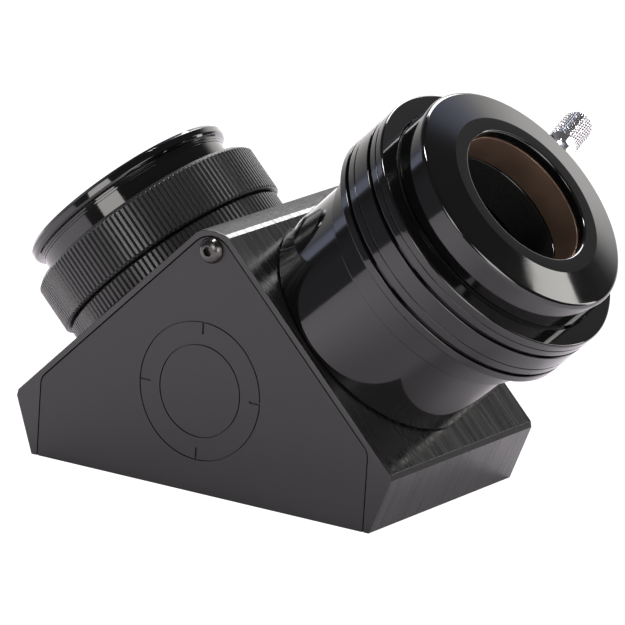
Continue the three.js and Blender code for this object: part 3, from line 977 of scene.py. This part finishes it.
FLOOR_HALF = 0.64
STUDIO_CENTRE = Vector((0.02, 0, 0.055))
LAMPS = [
    # name, azimuth and elevation from the object, distance, width, height, radiance, colour
    ("overhead", -80, 84, 1.3, 0.20, 0.20, 55.0, (1.0, 1.0, 1.0)),
    ("hair_light", -20, 41, 1.5, 0.70, 0.64, 12.0, (1.0, 1.0, 1.0)),
    ("rear_softbox", 36.3, 13.5, 1.5, 0.20, 1.03, 5.6, (1.0, 0.99, 0.95)),
    ("front_softbox", 179, 16, 1.5, 0.60, 0.58, 5.2, (1.0, 0.985, 0.96)),
    ("side_softbox", 118, 12, 1.5, 0.90, 0.70, 6.0, (1.0, 1.0, 1.0)),
]
# soft backdrop: its radiance by azimuth, how much of it is left by elevation, and where it turns blue
BACKDROP = [
    (-180, 0.0), (-160, 0.05), (-140, 0.12), (-118, 0.10), (-110, 0.05), (-104, 0.0), (-100, 0.05),
    (-97.5, 1.15), (-91, 0.9), (-88, 0.40), (-80, 0.5), (-71, 0.65), (-62, 0.85), (-50, 1.15),
    (-30, 1.5), (-12, 1.7), (2, 1.75), (7, 1.5), (10.5, 1.0), (14, 0.4), (18, 0.05), (24, 0.0),
    (60, 0.0), (110, 0.0), (180, 0.0),
]
BACKDROP_FADE = [
    (-90, 1.0), (20, 1.0), (26, 0.75), (31, 0.5), (36, 0.4), (41, 0.36), (46, 0.12), (52, 0.0),
    (90, 0.0),
]
BACKDROP_COLORS = ((1, 0.98, 0.97, 1), (0.78, 0.86, 1.15, 1))
BLUE_BY_AZIMUTH = [(-180, 0.0), (-110, 1.0), (-90, 1.0), (-80, 0.0), (180, 0.0)]
BLUE_BY_ELEVATION = [(-90, 0.0), (28, 0.0), (36, 1.0), (90, 1.0)]
# dim light from all around, and the white that the camera sees behind the object and under it
ROOM = {"radiance": 0.09, "color": (1, 0.96, 0.96, 1), "seen": 3.0, "floor_seen": 1.15}
# the floor glows from low at a distance of near metres to high at far metres; the dip near the object is painted
# shade, the object's own shadow on the floor as seen in reflections
FLOOR_GLOW_AND_PAINTED_SHADE = {"near": 0.05, "far": 0.18, "low": 0.22, "high": 0.62}


def towards(azimuth, elevation):
    """Azimuth 0 is +Y and 90 is +X."""
    a, e = math.radians(azimuth), math.radians(elevation)
    return Vector((math.sin(a) * math.cos(e), math.cos(a) * math.cos(e), math.sin(e)))


def add_lamp(name, azimuth, elevation, distance, width, height, radiance, color):
    lamp = bpy.data.lights.new(name, "AREA")
    lamp.shape = "RECTANGLE"
    lamp.size, lamp.size_y = width, height
    lamp.energy = radiance * width * height * math.pi
    lamp.color = color
    made = bpy.data.objects.new(name, lamp)
    bpy.context.scene.collection.objects.link(made)
    direction = towards(azimuth, elevation)
    made.location = STUDIO_CENTRE + direction * distance
    made.rotation_euler = direction.to_track_quat("Z", "Y").to_euler()
    made.visible_camera = False


def curve_of(tree, source, points, low, high):
    """A value looked up along straight lines between points."""
    ramp = tree.nodes.new("ShaderNodeFloatCurve")
    scaled = tree.nodes.new("ShaderNodeMapRange")
    tree.links.new(source, scaled.inputs["Value"])
    scaled.inputs["From Min"].default_value = low
    scaled.inputs["From Max"].default_value = high
    tree.links.new(scaled.outputs[0], ramp.inputs["Value"])
    curve = ramp.mapping.curves[0]
    ramp.mapping.use_clip = False
    places = [((x - low) / (high - low), y) for x, y in points]
    curve.points[0].location = places[0]
    curve.points[1].location = places[-1]
    for place in places[1:-1]:
        curve.points.new(*place)
    for point in curve.points:
        point.handle_type = "VECTOR"
    ramp.mapping.update()
    return ramp.outputs[0]


def make_world():
    world = bpy.data.worlds.new("studio")
    world.use_nodes = True
    tree = world.node_tree

    def math_node(operation, *values):
        made = tree.nodes.new("ShaderNodeMath")
        made.operation = operation
        for socket, value in zip(made.inputs, values):
            if isinstance(value, bpy.types.NodeSocket):
                tree.links.new(value, socket)
            else:
                socket.default_value = value
        return made.outputs[0]

    direction = tree.nodes.new("ShaderNodeTexCoord").outputs["Generated"]
    parts = tree.nodes.new("ShaderNodeSeparateXYZ")
    tree.links.new(direction, parts.inputs[0])
    x, y, z = parts.outputs
    azimuth = math_node("MULTIPLY", math_node("ARCTAN2", x, y), 180 / math.pi)
    elevation = math_node("MULTIPLY", math_node("ARCSINE", z), 180 / math.pi)
    backdrop = curve_of(tree, azimuth, BACKDROP, -180, 180)
    fade = curve_of(tree, elevation, BACKDROP_FADE, -90, 90)
    glow = math_node("MULTIPLY", backdrop, fade)
    blue = math_node(
        "MAXIMUM", curve_of(tree, azimuth, BLUE_BY_AZIMUTH, -180, 180),
        curve_of(tree, elevation, BLUE_BY_ELEVATION, -90, 90),
    )
    tint = tree.nodes.new("ShaderNodeMix")
    tint.data_type = "RGBA"
    tree.links.new(blue, tint.inputs[0])
    tint.inputs[6].default_value, tint.inputs[7].default_value = BACKDROP_COLORS
    camera_ray = tree.nodes.new("ShaderNodeLightPath").outputs["Is Camera Ray"]
    seen = math_node("MULTIPLY", camera_ray, ROOM["seen"])
    room = tree.nodes.new("ShaderNodeBackground")
    tree.links.new(math_node("MAXIMUM", seen, ROOM["radiance"]), room.inputs["Strength"])
    room.inputs["Color"].default_value = ROOM["color"]
    tree.links.new(glow, tree.nodes["Background"].inputs["Strength"])
    tree.links.new(tint.outputs[2], tree.nodes["Background"].inputs["Color"])
    both = tree.nodes.new("ShaderNodeAddShader")
    tree.links.new(tree.nodes["Background"].outputs[0], both.inputs[0])
    tree.links.new(room.outputs[0], both.inputs[1])
    tree.links.new(both.outputs[0], tree.nodes["World Output"].inputs["Surface"])
    bpy.context.scene.world = world


def make_floor():
    low, high = (-FLOOR_HALF / MM, -FLOOR_HALF / MM, -12), (FLOOR_HALF / MM, FLOOR_HALF / MM, -0.05)
    made = block("floor", low, high)
    pale = Material("pale_floor", Base_Color=(0.80, 0.755, 0.80), Roughness=0.9, Specular_IOR_Level=0.0)
    pale.shader.inputs["Emission Color"].default_value = (1, 0.945, 1, 1)
    # emission dimmer near the object and brighter far off: painted shade of the object on the floor, seen by
    # reflection rays
    distance = pale.node("ShaderNodeVectorMath", i0=pale.coordinates)
    distance.operation = "LENGTH"
    limits = (FLOOR_GLOW_AND_PAINTED_SHADE[key] for key in ("low", "high", "near", "far"))
    pale.link(pale.spread(distance.outputs["Value"], *limits), "Emission Strength")
    white = pale.node("ShaderNodeEmission", Strength=ROOM["floor_seen"])
    mixed = pale.node(
        "ShaderNodeMixShader", i0=pale.node("ShaderNodeLightPath").outputs["Is Camera Ray"],
        i1=pale.shader.outputs[0], i2=white.outputs[0],
    )
    pale.tree.links.new(mixed.outputs[0], pale.tree.nodes["Material Output"].inputs["Surface"])
    made.data.materials.append(pale.data)


def make_studio():
    make_floor()
    for lamp in LAMPS:
        add_lamp(*lamp)
    make_world()
    bpy.context.scene.view_settings.view_transform = "Standard"


make_camera()
make_housing()
for side, end_name in ((-1, "front"), (1, "back")):
    make_plate(side, f"side_plate_{end_name}")
    make_plate_screw(side, f"plate_screw_{end_name}")
make_cover()
make_cover_screws()
make_mirror()
make_pads()
make_nose_collar()
make_nose_tube()
make_coupling_ring()
make_slip_washer()
make_holder_tube()
make_twist_ring()
make_stop_screw()
make_collet()
make_adapter()
make_brass_ring()
make_thumbscrew()
make_screw_tip()
make_studio()
